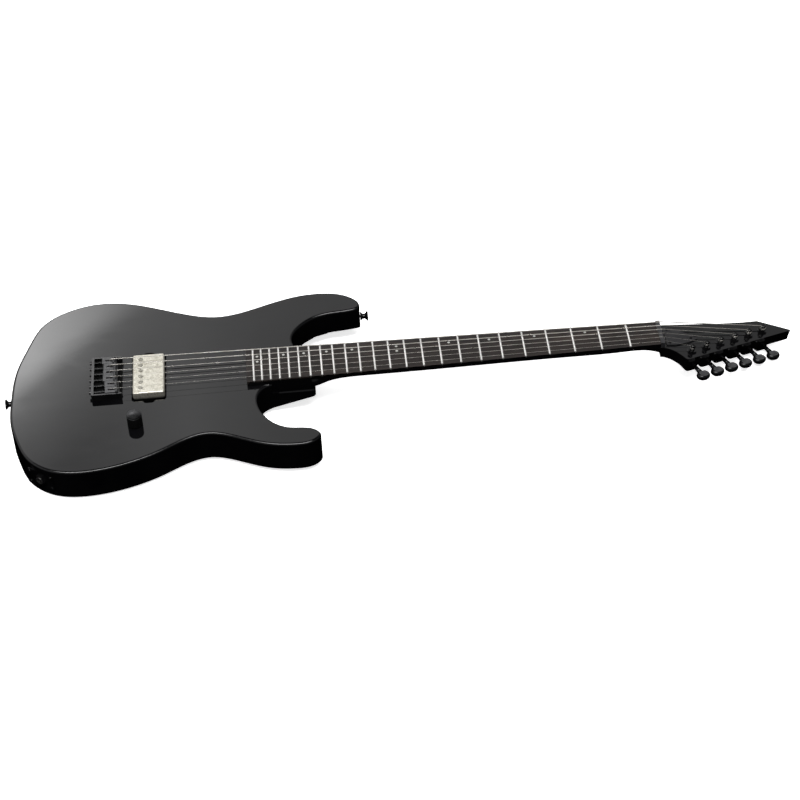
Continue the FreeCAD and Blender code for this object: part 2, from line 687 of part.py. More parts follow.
# ---- wood and machine screws ------------------------------------------------
def wood_screw(r, length, head_r, head_h, base, axis):
    """Screw with a domed head; base is under the head and the axis points out of the head."""
    profile = [(0, -length), (r * 0.4, -length + 1.0), (r, -length + 4 * r), (r, 0), (head_r, 0),
               (head_r * 0.93, head_h * 0.55), (head_r * 0.5, head_h), (0, head_h)]
    screw = turned(profile)
    cuts = [box(-head_r * 0.6, head_r * 0.6, -0.3, 0.3, head_h * 0.5, head_h + 1),
            box(-0.3, 0.3, -head_r * 0.6, head_r * 0.6, head_h * 0.5, head_h + 1)]
    return place(screw.cut(cuts), base, axis)


ROD_COVER_SCREWS = [(7.0, 12.0), (7.0, -12.0), (35.5, 0.0)]
ROD_COVER = [(3.0, 16.4), (14.0, 15.2), (31.0, 8.6), (44.0, 0.0), (31.0, -8.6), (14.0, -15.2), (3.0, -16.4)]
ROD_COVER_T = 1.8


def make_fasteners():
    up, down = V(0, 0, 1), V(0, 0, -1)
    bridge = [wood_screw(1.6, 20, 2.9, 1.3, V(x, y, TOP + 1.65), up) for x, y in BRIDGE_SCREWS]
    straps = [wood_screw(1.6, 30, 2.9, 1.3, base + axis * 8.3, axis) for base, axis in STRAPS]
    save("wood_screws", *bridge, *straps)
    small = [wood_screw(1.1, 9, 2.0, 0.9, V(x, y, 1.0), down) for x, y in COVER_SCREWS]
    small += [on_head(wood_screw(1.1, 8, 2.0, 0.9, V(x, y, ROD_COVER_T), up)) for x, y in ROD_COVER_SCREWS]
    small += [jack_local(wood_screw(1.1, 9, 2.0, 0.9, V(x, y, 0.2), up)) for x, y in JACK_SCREWS]
    save("cover_screws", *small)
    ferrules, bolts = [], []
    for x, y in BOLTS:
        seat = bolt_seat(x)
        ferrules.append(upright(7.0, x, y, seat, seat + 3).cut([
            upright(2.7, x, y, seat - 1, seat + 4), upright(4.6, x, y, seat - 1, seat + 1.8)]))
        bolts.append(wood_screw(2.2, JOINT_Z - 4 - seat - 1.8, 4.2, 1.6, V(x, y, seat + 1.75), down))
    save("neck_bolt_ferrules", *ferrules)
    save("neck_bolts", *bolts)


def make_truss_rod():
    bar = box(172, 652, -2.9, 2.9, JOINT_Z - 8, JOINT_Z - 0.3)
    screw = on_head(Part.makeCylinder(3.0, 14, V(-3.0, 0, -3.9), V(1, 0, 0)))
    socket = on_head(hexagon(3.0, 6, V(12.5, 0, -3.9), V(-1, 0, 0)))
    head_gap = on_head(box(-6, 2, -6, 6, -3.0 - 5, 4))
    tip = screw.cut([socket, head_gap])
    save("truss_rod", bar, tip)
    cover = prism(ROD_COVER, 0, ROD_COVER_T)
    cover = cover.cut([upright(1.2, x, y, -1, 3) for x, y in ROD_COVER_SCREWS])
    save("truss_rod_cover", on_head(cover))


# ---- pickup -----------------------------------------------------------------
def oval(x, half_x, half_y, z0, z1):
    """Straight-sided bar with round ends, long in Y."""
    middle = box(x - half_x, x + half_x, half_x - half_y, half_y - half_x, z0, z1)
    return middle.fuse([upright(half_x, x, s * (half_y - half_x), z0, z1) for s in (-1, 1)]).removeSplitter()


def pole_y(i):
    return (i - (STRINGS - 1) / 2) * POLE_PITCH


def make_pickup():
    w, h = PICKUP_SIZE
    top, bottom, wall = PICKUP_TOP, PICKUP_TOP - 15.5, 0.8
    x0, x1 = PICKUP_X - w / 2, PICKUP_X + w / 2
    shell = rounded_box(x0, x1, -h / 2, h / 2, bottom, top, 2.5)
    shell = shell.makeFillet(PICKUP_EDGE_R, [e for e in shell.Edges if abs(e.BoundBox.ZMin - top) < 1e-4])
    shell = shell.cut(rounded_box(x0 + wall, x1 - wall, wall - h / 2, h / 2 - wall, bottom - 1, top - wall, 1.7))
    screws_x, slugs_x = PICKUP_X - POLE_OFFSET, PICKUP_X + POLE_OFFSET
    ys = [pole_y(i) for i in range(STRINGS)]
    save("pickup_cover", shell.cut([upright(POLE_HOLE_R, screws_x, y, top - 3, top + 1) for y in ys]))
    plate = rounded_box(x0 + 1, x1 - 1, 1.1 - h / 2, h / 2 - 1.1, bottom + 0.2, bottom + 1.4, 2)
    for s in (-1, 1):
        leg = box(PICKUP_X - 5, PICKUP_X + 5, 32.4, 43, bottom - 3.4, bottom - 2.2)
        drop = box(PICKUP_X - 5, PICKUP_X + 5, 32.4, 33.6, bottom - 2.2, bottom + 1.4)
        side = union([leg, drop])
        plate = plate.fuse(side if s > 0 else side.mirror(V(0, 0, 0), V(0, 1, 0)))
    holes = [upright(1.3, screws_x, y, bottom - 1, bottom + 3) for y in ys]
    holes += [upright(1.3, PICKUP_X, y, bottom - 5, bottom) for y in (-40.5, 40.5)]
    save("pickup_baseplate", plate.removeSplitter().cut(holes))
    low, high = bottom + 5.2, top - 1.1
    bobbins, coils = [], []
    for x in (screws_x, slugs_x):
        core = oval(x, 3.6, 30.5, low, high)
        flanges = [oval(x, 8.8, 33.4, low, low + 1.2), oval(x, 8.8, 33.4, high - 1.2, high)]
        bobbin = core.fuse(flanges).removeSplitter()
        bobbins.append(bobbin.cut([upright(2.45, x, y, low - 1, high + 1) for y in ys]))
        ring = oval(x, 8.2, 32.8, low + 1.25, high - 1.25)
        coils.append(ring.cut(oval(x, 3.65, 30.55, low, high)))
    save("pickup_bobbins", *bobbins)
    save("pickup_coils", *coils)
    save("bar_magnet", box(PICKUP_X - 6.2, PICKUP_X + 6.2, -31, 31, bottom + 1.5, low - 0.1))
    poles = []
    for y, turn in zip(ys, POLE_TURNS):
        head = upright(POLE_HEAD_R, screws_x, y, top - 1.0, top + 0.5)
        shank = upright(1.2, screws_x, y, bottom - 5.0, top - 1.0)
        slot = box(screws_x - 3, screws_x + 3, y - 0.4, y + 0.4, top - 0.3, top + 1)
        slot.rotate(V(screws_x, y, 0), V(0, 0, 1), turn)
        poles.append(head.fuse(shank).cut(slot))
    save("pole_screws", *poles)
    save("slug_poles", *[upright(2.4, slugs_x, y, low - 3.5, high - 0.1) for y in ys])
    mounts = [wood_screw(1.2, 15, 2.4, 1.2, V(PICKUP_X, y, bottom - 2.15), V(0, 0, 1)) for y in (-40.5, 40.5)]
    save("pickup_mount_screws", *mounts)


# ---- controls ---------------------------------------------------------------
def make_controls():
    x, y = KNOB_XY
    can = upright(12.0, x, y, CAVITY_TOP - 10, CAVITY_TOP - 0.3)
    lugs = [box(x - 1.5 + d, x + 1.5 + d, y - 19, y - 11, CAVITY_TOP - 5, CAVITY_TOP - 4) for d in (-5, 0, 5)]
    bush = upright(4.7, x, y, CAVITY_TOP - 1, TOP + 3.4)
    pot = union([can, bush] + lugs).cut(upright(3.06, x, y, CAVITY_TOP - 8, TOP + 4))
    save("volume_pot", pot)
    save("pot_shaft", upright(3.0, x, y, CAVITY_TOP - 7.8, TOP + 13.0))
    base = TOP + KNOB_GAP
    profile = [(0, base), (KNOB_R - 0.5, base), (KNOB_R, base + 0.5), (KNOB_R - 0.15, base + KNOB_H - 3.6),
               (KNOB_R - 0.5, base + KNOB_H - 3.2), (KNOB_R - 0.5, base + KNOB_H - 2.6),
               (KNOB_R - 0.2, base + KNOB_H - 2.3), (KNOB_R - 0.6, base + KNOB_H - 1.4)]
    dome = 7
    for i in range(1, dome):
        a = i / dome
        profile.append(((KNOB_R - 0.6) * (1 - a), base + KNOB_H - 1.4 * (1 - a) ** 2))
    profile.append((0, base + KNOB_H))
    knob = turned(profile, V(x, y, 0))
    save("volume_knob", knob.cut([upright(7.9, x, y, TOP, TOP + 4.6), upright(3.03, x, y, TOP, TOP + 13.05)]))
    nut = hexagon(12.5, 2.3, V(x, y, TOP + 0.05)).cut(upright(4.75, x, y, TOP - 1, TOP + 4))
    outer = jack_local(hexagon(12.5, 2.3, V(0, 0, 0.25)).cut(Part.makeCylinder(4.75, 9, V(0, 0, -2))))
    save("panel_nuts", nut, outer)
    plate = jack_local(rounded_box(-18.5, 18.5, -12, 12, -1.35, 0.15, 5).cut(
        [Part.makeCylinder(4.8, 6, V(0, 0, -3))]
        + [Part.makeCylinder(1.2, 6, V(a, b, -3)) for a, b in JACK_SCREWS]))
    save("jack_plate", plate)
    barrel = [(3.2, -26), (3.2, 3.0), (4.7, 3.0), (4.7, -1.5), (8.0, -1.5), (8.0, -30), (0, -30), (0, -26)]
    save("output_jack", jack_local(turned(barrel)))
    cover = cover_recess(0.25).common(box(-200, 200, -200, 0, 0.1, BACK_COVER_T))
    holes = [upright(1.2, a, b, -1, 4) for a, b in COVER_SCREWS]
    holes += [upright(2.3, a, b, -1, 1.0) for a, b in COVER_SCREWS]
    save("control_cover", cover.cut(holes))
    button = [(2.0, 0.1), (5.4, 0.1), (5.0, 1.2), (3.3, 3.4), (3.2, 5.6), (4.4, 7.2), (6.1, 8.2), (6.4, 8.9),
              (6.1, 9.6), (3.1, 9.7), (3.1, 8.2), (2.0, 8.2)]
    save("strap_buttons", *[turned(button, base, axis) for base, axis in STRAPS])


# ---- tuners -----------------------------------------------------------------
HOUSING_TOP = -HEAD_T - 0.05
HOUSING_H = 9.5
GEAR_R = 4.1
GEAR_H = 3.0
GEAR_TEETH = 18
WORM_R = 1.25


def gear_outline(z0, z1):
    """Small toothed wheel, one tooth a step."""
    pts = []
    for i in range(GEAR_TEETH):
        for share, r in ((0.0, GEAR_R - 0.5), (0.25, GEAR_R), (0.5, GEAR_R), (0.75, GEAR_R - 0.5)):
            a = 2 * math.pi * (i + share) / GEAR_TEETH
            pts.append((r * math.cos(a), r * math.sin(a)))
    return prism(pts, z0, z1)


def tuner_post(k):
    r = STRING_R[k]
    base = -WORM_DEPTH - GEAR_H / 2
    profile = [(0, base - 1.0), (2.6, base - 1.0), (2.6, -HEAD_T), (POST_R, -HEAD_T + 0.2), (POST_R, WRAP_Z - 1.0),
               (POST_R - 0.45, WRAP_Z + 0.5), (POST_R - 0.45, WRAP_Z + WRAP_H + 1.4), (POST_R, POST_TOP - 1.6),
               (POST_R, POST_TOP - 0.4), (POST_R - 0.4, POST_TOP), (0, POST_TOP)]
    post = turned(profile)
    slot = box(-0.65, 0.65, -5, 5, POST_TOP - 2.6, POST_TOP + 1)
    turns = max(3, min(5, int(WRAP_H / (2 * r))))
    lift = WRAP_H / turns
    coil = [Part.makeTorus(POST_R - 0.45 + r, r, V(0, 0, WRAP_Z + lift * (i + 0.5))) for i in range(turns)]
    sleeve = upright(POST_R - 0.45 + r, 0, 0, WRAP_Z, WRAP_Z + WRAP_H).cut(
        upright(POST_R - 0.6, 0, 0, WRAP_Z - 1, WRAP_Z + WRAP_H + 1))
    post = post.cut(slot).fuse([gear_outline(base, base + GEAR_H), sleeve] + coil)
    return on_tuner(post, k)


def tuner_button(k):
    """Worm, shaft and button: the worm lies beside the gear and the shaft leaves over the headstock's edge."""
    x, z = WORM_OFFSET, -WORM_DEPTH
    worm = rod(WORM_R, V(x, 6.0, z), V(x, -9.0, z))
    shaft = rod(1.9, V(x, -9.0, z), V(x, -BUTTON_REACH + 4.5, z))
    collar = rod(2.9, V(x, -BUTTON_REACH + 7.5, z), V(x, -BUTTON_REACH + 4.0, z))
    half_x, half_y, half_z = 7.2, 5.6, 3.6
    blob = Part.makeSphere(1.0)
    grow = FreeCAD.Matrix()
    grow.scale(half_x, half_y, half_z * 1.35)
    blob = blob.transformGeometry(grow)
    blob = blob.common(box(-10, 10, -10, 10, -half_z, half_z))
    blob.translate(V(x, -BUTTON_REACH, z))
    return on_tuner(worm.fuse([shaft, collar, blob]), k)


def tuner_housing(k):
    z0, z1 = HOUSING_TOP - HOUSING_H, HOUSING_TOP
    x = WORM_OFFSET
    case = rounded_box(-7.0, 10.5, -9.0, 9.0, z0, z1, 4.0)
    case = case.makeFillet(1.5, [e for e in case.Edges if abs(e.BoundBox.ZMax - z0) < 1e-4])
    tools = [
        upright(POST_R + 0.06, 0, 0, -WORM_DEPTH, 1),
        upright(GEAR_R + 0.3, 0, 0, -WORM_DEPTH - GEAR_H / 2 - 1.3, -WORM_DEPTH + GEAR_H / 2 + 0.3),
        rod(WORM_R + 0.3, V(x, 6.3, -WORM_DEPTH), V(x, -8.0, -WORM_DEPTH)),
        rod(2.0, V(x, -8.6, -WORM_DEPTH), V(x, -12, -WORM_DEPTH)),
        rod(WORM_R + 0.3, V(x, -7.9, -WORM_DEPTH), V(x, -9, -WORM_DEPTH)),
        upright(0.85, 9.0, 5.0, z0 - 1, z1 + 1),
        upright(2.0, 9.0, 5.0, z0 - 1, z1 - 2.0),
    ]
    return on_tuner(case.cut(tools), k)


def tuner_bushing(k):
    washer = upright(6.3, 0, 0, 0.05, 0.6)
    nut = hexagon(10.0, 1.6, V(0, 0, 0.6))
    sleeve = upright(4.9, 0, 0, -HEAD_T + 0.1, 0.6)
    return on_tuner(union([washer, nut, sleeve]).cut(upright(POST_R + 0.06, 0, 0, -HEAD_T - 1, 5)), k)


def tuner_screw(k):
    return on_tuner(wood_screw(0.8, 6.5, 1.7, 0.9, V(9.0, 5.0, HOUSING_TOP - 2.05), V(0, 0, -1)), k)


def make_tuners():
    save("tuner_housings", *[tuner_housing(k) for k in range(STRINGS)])
    save("tuner_bushings", *[tuner_bushing(k) for k in range(STRINGS)])
    save("tuner_mount_screws", *[tuner_screw(k) for k in range(STRINGS)])
    for k in range(STRINGS):
        save(f"tuner_post_{k + 1}", tuner_post(k))
        save(f"tuner_button_{k + 1}", tuner_button(k))


save("body", make_body())
save("neck", make_neck())
make_board()
make_nut()
make_strings()
make_bridge()
for index in range(STRINGS):
    save(f"saddle_{index + 1}", *saddle(index))
    save(f"intonation_screw_{index + 1}", intonation_screw(index))
make_fasteners()
make_truss_rod()
make_pickup()
make_controls()
make_tuners()
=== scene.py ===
import json
import math

import bpy
from mathutils import Matrix, Vector


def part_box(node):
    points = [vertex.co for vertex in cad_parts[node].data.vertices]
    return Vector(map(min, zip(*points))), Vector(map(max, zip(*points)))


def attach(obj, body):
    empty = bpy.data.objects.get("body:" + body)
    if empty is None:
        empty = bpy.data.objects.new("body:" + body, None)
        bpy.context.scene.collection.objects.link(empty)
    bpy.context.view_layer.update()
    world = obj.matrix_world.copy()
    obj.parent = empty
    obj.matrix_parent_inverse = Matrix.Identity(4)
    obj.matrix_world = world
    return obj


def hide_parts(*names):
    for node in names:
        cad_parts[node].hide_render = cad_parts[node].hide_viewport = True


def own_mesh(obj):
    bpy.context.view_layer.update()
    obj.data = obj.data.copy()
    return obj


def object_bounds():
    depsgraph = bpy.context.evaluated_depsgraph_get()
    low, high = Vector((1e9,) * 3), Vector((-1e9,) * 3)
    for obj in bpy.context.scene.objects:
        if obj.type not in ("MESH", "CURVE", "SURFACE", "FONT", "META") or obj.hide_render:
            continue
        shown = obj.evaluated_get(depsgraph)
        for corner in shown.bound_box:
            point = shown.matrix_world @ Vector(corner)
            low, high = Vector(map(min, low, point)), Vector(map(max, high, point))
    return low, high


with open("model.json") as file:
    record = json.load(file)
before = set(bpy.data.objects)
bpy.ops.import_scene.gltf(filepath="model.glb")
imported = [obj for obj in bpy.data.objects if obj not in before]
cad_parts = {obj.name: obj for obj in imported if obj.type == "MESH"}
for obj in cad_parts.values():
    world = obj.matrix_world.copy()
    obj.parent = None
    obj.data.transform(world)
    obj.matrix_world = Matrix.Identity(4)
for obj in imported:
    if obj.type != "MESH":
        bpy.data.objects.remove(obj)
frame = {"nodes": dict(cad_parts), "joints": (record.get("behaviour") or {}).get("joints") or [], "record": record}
cad_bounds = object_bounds()

NODES = frame["nodes"]
JOINTS = {joint["name"]: joint for joint in frame["joints"]}
MM = 0.001
STRINGS = range(1, 7)


# ---- camera -----------------------------------------------------------------
SENSOR_WIDTH = 36.0
LENS = 95.17
FAR_CLIP = 50.0
CAMERA_AT = (219.72, -1908.21, 1692.04)
LOOK = (0.04474, 0.74208, -0.66882)
RIGHT = (0.99580, -0.08670, -0.02957)


def make_camera():
    """Three-quarter view from the player's lower right, with a long lens."""
    data = bpy.data.cameras.new("camera")
    data.sensor_width = SENSOR_WIDTH
    data.lens = LENS
    data.clip_end = FAR_CLIP
    camera = bpy.data.objects.new("camera", data)
    look = Vector(LOOK).normalized()
    right = Vector(RIGHT).normalized()
    up = right.cross(look)
    turn = Matrix((right, up, -look)).transposed().to_4x4()
    camera.matrix_world = Matrix.Translation(Vector(CAMERA_AT) * MM) @ turn
    bpy.context.scene.collection.objects.link(camera)
    bpy.context.scene.camera = camera


# ---- node helpers -----------------------------------------------------------
def greys(*stops):
    """Ramp stops in grey, from (position, level) pairs."""
    return [(position, (level,) * 3) for position, level in stops]


class Nodes:
    """Short ways to add shader nodes to one tree."""

    def __init__(self, tree):
        self.tree = tree

    def add(self, kind, **settings):
        node = self.tree.nodes.new(kind)
        for name, value in settings.items():
            setattr(node, name, value)
        return node

    def link(self, source, target):
        if isinstance(source, (int, float)):
            target.default_value = source
        else:
            self.tree.links.new(source, target)

    def math(self, operation, a, b=0.0):
        node = self.add("ShaderNodeMath", operation=operation)
        self.link(a, node.inputs[0])
        self.link(b, node.inputs[1])
        return node.outputs[0]

    def ranged(self, value, low, high, to_low, to_high, smooth=False):
        """Maps low..high to to_low..to_high and holds the ends."""
        node = self.add("ShaderNodeMapRange", interpolation_type="SMOOTHSTEP" if smooth else "LINEAR")
        ends = {"From Min": low, "From Max": high, "To Min": to_low, "To Max": to_high}
        for socket, number in ends.items():
            node.inputs[socket].default_value = number
        self.link(value, node.inputs["Value"])
        return node.outputs["Result"]

    def place(self, stretch=(1, 1, 1)):
        """Object coordinates, in metres, with each axis stretched."""
        coords = self.add("ShaderNodeTexCoord")
        mapping = self.add("ShaderNodeMapping")
        mapping.inputs["Scale"].default_value = stretch
        self.tree.links.new(coords.outputs["Object"], mapping.inputs["Vector"])
        return mapping.outputs["Vector"]

    def noise(self, scale, detail=3.0, stretch=(1, 1, 1), distortion=0.0, rough=0.5):
        node = self.add("ShaderNodeTexNoise")
        node.inputs["Scale"].default_value = scale
        node.inputs["Detail"].default_value = detail
        node.inputs["Roughness"].default_value = rough
        node.inputs["Distortion"].default_value = distortion
        self.tree.links.new(self.place(stretch), node.inputs["Vector"])
        return node.outputs["Fac"]

    def ramp(self, value, *stops):
        """Colour ramp; each stop is (position, (r, g, b))."""
        node = self.add("ShaderNodeValToRGB")
        elements = node.color_ramp.elements
        while len(elements) < len(stops):
            elements.new(0.5)
        for element, (position, colour) in zip(elements, stops):
            element.position = position
            element.color = (*colour, 1.0)
        self.link(value, node.inputs["Fac"])
        return node.outputs["Color"]

    def bump(self, height, distance, normal=None):
        node = self.add("ShaderNodeBump")
        node.inputs["Distance"].default_value = distance
        node.inputs["Strength"].default_value = 1.0
        self.link(height, node.inputs["Height"])
        if normal is not None:
            self.tree.links.new(normal, node.inputs["Normal"])
        return node.outputs["Normal"]


def new_material(name, metallic=0.0, **sockets):
    material = bpy.data.materials.new(name)
    material.use_nodes = True
    surface = material.node_tree.nodes["Principled BSDF"]
    surface.inputs["Metallic"].default_value = metallic
    for socket, value in sockets.items():
        surface.inputs[socket.replace("_", " ")].default_value = value
    return material, Nodes(material.node_tree), surface


# ---- materials --------------------------------------------------------------
def worn(name, dark, light, rough, metallic=0.0, grain=900, stretch=(1, 1, 1), height=0.004, patch=70,
         **sockets):
    """Surface whose tone drifts in patches and whose roughness and height follow a finer grain."""
    material, n, surface = new_material(name, metallic, **sockets)
    patches = n.noise(patch, 4.0)
    fine = n.noise(grain, 3.0, stretch)
    n.link(n.ramp(patches, (0.3, dark), (0.7, light)), surface.inputs["Base Color"])
    n.link(n.ranged(n.math("ADD", patches, fine), 0.6, 1.4, *rough), surface.inputs["Roughness"])
    n.link(n.bump(fine, height * MM), surface.inputs["Normal"])
    return material


def lacquer():
    """Black gloss lacquer: faint orange peel, a few wiping marks in the gloss."""
    material, n, surface = new_material("gloss_black", IOR=1.5)
    haze = n.noise(14, 5.0, (1.0, 2.5, 1.0), 0.8)
    peel = n.noise(260, 2.0)
    dust = n.noise(1500, 2.0)
    n.link(n.ramp(haze, (0.35, (0.0012, 0.0012, 0.0015)), (0.7, (0.0026, 0.0026, 0.003))),
           surface.inputs["Base Color"])
    n.link(n.ranged(haze, 0.35, 0.75, 0.02, 0.055), surface.inputs["Roughness"])
    n.link(n.bump(dust, 0.0004 * MM, normal=n.bump(peel, 0.0012 * MM)), surface.inputs["Normal"])
    return material


def fretboard_wood():
    """Dark open-grained wood, streaked along the neck, with fine pores."""
    material, n, surface = new_material("fretboard_wood", Specular_IOR_Level=0.3)
    streaks = n.noise(260, 6.0, (0.06, 1.0, 1.0), 0.6)
    bands = n.noise(26, 3.0, (0.25, 1.0, 1.0))
    pores = n.noise(1400, 2.0, (0.05, 1.0, 1.0))
    tone = n.math("ADD", n.math("MULTIPLY", streaks, 0.65), n.math("MULTIPLY", bands, 0.35))
    n.link(n.ramp(tone, (0.34, (0.006, 0.0045, 0.004)), (0.52, (0.013, 0.0098, 0.0084)),
                  (0.7, (0.03, 0.0215, 0.0175))), surface.inputs["Base Color"])
    n.link(n.ranged(pores, 0.3, 0.6, 0.62, 0.4), surface.inputs["Roughness"])
    pits = n.ranged(pores, 0.3, 0.45, 0.0, 1.0)
    n.link(n.bump(pits, 0.03 * MM, normal=n.bump(streaks, 0.02 * MM)), surface.inputs["Normal"])
    return material


def pearl():
    """Mother of pearl: cloudy bands with a slight colour play under a polish."""
    material, n, surface = new_material("pearl", Coat_Weight=0.6, Coat_Roughness=0.06)
    clouds = n.noise(420, 4.0, (1.0, 1.0, 0.4), 2.5)
    n.link(n.ramp(clouds, (0.3, (0.27, 0.28, 0.27)), (0.5, (0.46, 0.45, 0.41)), (0.62, (0.35, 0.38, 0.39)),
                  (0.75, (0.5, 0.47, 0.44))), surface.inputs["Base Color"])
    n.link(n.ranged(clouds, 0.3, 0.7, 0.32, 0.18), surface.inputs["Roughness"])
    return material


# Painted shade on nickel parts: below this band of height, in metres, they turn near-black, as shade down in the
# pickup cavity.
CAVITY_SHADE_FROM, CAVITY_SHADE_TO = 0.0375, 0.0405


def aged_nickel(name, shade):
    """Warm nickel plate that has gone cloudy, with creases and small dents, and with painted shade low down:
    near-black below the body's top, where the part sinks into its cavity.
    """
    material, n, surface = new_material(name, 0.8)
    clouds = n.noise(260, 5.0, (1.0, 1.0, 1.0), 1.2)
    creases = n.noise(420, 4.0, (1.0, 1.0, 1.0), 2.2, 0.6)
    lines = n.ranged(n.math("ABSOLUTE", n.math("SUBTRACT", creases, 0.5)), 0.0, 0.035, 0.0, 1.0, True)
    specks = n.noise(1100, 2.0)
    tone = n.math("ADD", n.math("MULTIPLY", clouds, 0.55), n.math("MULTIPLY", specks, 0.45))
    dark, middle, light = [(r * shade, g * shade, b * shade) for r, g, b in
                           ((0.52, 0.49, 0.395), (0.76, 0.73, 0.63), (0.90, 0.875, 0.775))]
    metal = n.ramp(tone, (0.36, dark), (0.48, middle), (0.6, light))
    height = n.add("ShaderNodeSeparateXYZ")
    n.link(n.place(), height.inputs["Vector"])
    # Painted shade: the metal colour gives way to near-black low down, in the cavity.
    cavity_shade = n.add("ShaderNodeMix", data_type="RGBA")
    cavity_shade.inputs[6].default_value = (0.006, 0.006, 0.006, 1.0)
    n.link(n.ranged(height.outputs["Z"], CAVITY_SHADE_FROM, CAVITY_SHADE_TO, 0.0, 1.0), cavity_shade.inputs["Factor"])
    n.link(metal, cavity_shade.inputs[7])
    n.link(cavity_shade.outputs[2], surface.inputs["Base Color"])
    n.link(n.ranged(tone, 0.4, 0.62, 0.5, 0.34), surface.inputs["Roughness"])
    dents = n.bump(clouds, 0.028 * MM)
    n.link(n.bump(lines, 0.010 * MM, normal=dents), surface.inputs["Normal"])
    return material


def string_steel():
    """Bright wire with faint stains along it."""
    material, n, surface = new_material("string_steel", 0.75)
    stains = n.noise(240, 3.0, (0.3, 1.0, 1.0))
    n.link(n.ramp(stains, (0.3, (0.30, 0.285, 0.26)), (0.7, (0.52, 0.50, 0.465))),
           surface.inputs["Base Color"])
    n.link(n.ranged(stains, 0.3, 0.7, 0.4, 0.24), surface.inputs["Roughness"])
    return material


def copper_wire():
    """Fine enamelled winding: close rings round the bobbin."""
    material, n, surface = new_material("copper_wire", 0.7)
    turns = n.noise(5000, 1.0, (0.02, 0.02, 1.0))
    n.link(n.ramp(turns, (0.3, (0.2, 0.055, 0.02)), (0.7, (0.52, 0.19, 0.08))), surface.inputs["Base Color"])
    n.link(n.ranged(turns, 0.3, 0.7, 0.5, 0.28), surface.inputs["Roughness"])
    n.link(n.bump(turns, 0.03 * MM), surface.inputs["Normal"])
    return material


def make_materials():
    return {
        "gloss_black": lacquer(),
        "fretboard_wood": fretboard_wood(),
        "fret_steel": worn("fret_steel", (0.78, 0.77, 0.75), (0.93, 0.92, 0.9), (0.16, 0.3), 0.7,
                           grain=1200, stretch=(1, 0.05, 1), height=0.003),
        "pearl": pearl(),
        "black_nut": worn("black_nut", (0.01, 0.01, 0.011), (0.022, 0.022, 0.024), (0.32, 0.5),
                          height=0.008),
        "string_steel": string_steel(),
        "winding_steel": worn("winding_steel", (0.08, 0.078, 0.075), (0.2, 0.195, 0.185), (0.2, 0.34), 1.0,
                              grain=2500, stretch=(1, 1, 4), height=0.02),
        "black_metal": worn("black_metal", (0.0012, 0.0012, 0.0014), (0.0032, 0.0032, 0.0036),
                            (0.14, 0.24), grain=1600, height=0.003),
        "saddle_metal": worn("saddle_metal", (0.07, 0.07, 0.072), (0.12, 0.12, 0.123), (0.3, 0.42), 0.8,
                             grain=1400, stretch=(1, 0.15, 1), height=0.004, patch=160),
        "knob_metal": worn("knob_metal", (0.055, 0.055, 0.058), (0.085, 0.085, 0.088), (0.24, 0.36), 1.0,
                           grain=1500, height=0.002, patch=200),
        "black_matte": worn("black_matte", (0.001, 0.001, 0.001), (0.003, 0.003, 0.003), (0.7, 0.9),
                            height=0.01, Specular_IOR_Level=0.08),
        "brass": worn("brass", (0.45, 0.3, 0.11), (0.68, 0.5, 0.22), (0.26, 0.44), 1.0),
        "plain_steel": worn("plain_steel", (0.36, 0.36, 0.35), (0.58, 0.58, 0.57), (0.24, 0.42), 1.0),
        "black_plastic": worn("black_plastic", (0.008, 0.008, 0.009), (0.018, 0.018, 0.019), (0.3, 0.48),
                              height=0.01),
        "aged_nickel": aged_nickel("aged_nickel", 0.88),
        "pole_nickel": aged_nickel("pole_nickel", 0.55),
        "copper_wire": copper_wire(),
        "magnet": worn("magnet", (0.06, 0.06, 0.06), (0.16, 0.155, 0.15), (0.5, 0.75), 0.8, height=0.05),
        "tuner_grey": worn("tuner_grey", (0.035, 0.035, 0.037), (0.085, 0.085, 0.088), (0.34, 0.5), 0.3,
                           grain=1800, height=0.006, patch=300),
    }


# ---- mesh helpers -----------------------------------------------------------
def new_piece(name, points, faces, material, body, slot):
    """Smooth piece from points and faces, riding on a body, with its material. The slot argument is not used."""
    mesh = bpy.data.meshes.new(name)
    mesh.from_pydata([tuple(p) for p in points], [], faces)
    mesh.update()
    mesh.shade_smooth()
    mesh.materials.append(material)
    piece = bpy.data.objects.new(name, mesh)
    bpy.context.scene.collection.objects.link(piece)
    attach(piece, body)
    return piece


def skin(rings):
    """Points and faces of a closed tube through rings that all have the same number of points."""
    size = len(rings[0])
    points = [p for ring in rings for p in ring]
    faces = []
    for i in range(len(rings) - 1):
        for j in range(size):
            a, b = i * size + j, i * size + (j + 1) % size
            faces.append((a, b, b + size, a + size))
    faces.append(tuple(reversed(range(size))))
    last = (len(rings) - 1) * size
    faces.append(tuple(range(last, last + size)))
    return points, faces


def swept(path, radius, sides=10):
    """Round wire along a path of points."""
    rings = []
    side = None
    for i, here in enumerate(path):
        along = (path[min(i + 1, len(path) - 1)] - path[max(i - 1, 0)]).normalized()
        if side is None:
            side = along.orthogonal().normalized()
        side = (side - along * side.dot(along)).normalized()
        other = along.cross(side)
        turns = [2 * math.pi * j / sides for j in range(sides)]
        rings.append([here + (side * math.cos(a) + other * math.sin(a)) * radius for a in turns])
    return skin(rings)


def lathe(profile, origin, axis, sides=40):
    """Turned shape: profile is (radius, height) along the axis, in mm, and both ends close."""
    axis = Vector(axis).normalized()
    side = axis.orthogonal().normalized()
    other = axis.cross(side)
    rings = []
    for radius, height in profile:
        centre = origin + axis * height * MM
        turns = [2 * math.pi * j / sides for j in range(sides)]
        rings.append([centre + (side * math.cos(a) + other * math.sin(a)) * radius * MM for a in turns])
    return skin(rings)


def joined(*shapes):
    """One list of points and faces from several."""
    points, faces = [], []
    for more_points, more_faces in shapes:
        shift = len(points)
        points += more_points
        faces += [tuple(i + shift for i in face) for face in more_faces]
    return points, faces


def soften(piece, angle):
    """Smooth shading that keeps creases sharper than the angle, in radians."""
    piece.data.shade_smooth()
    piece.data.set_sharp_from_angle(angle=angle)


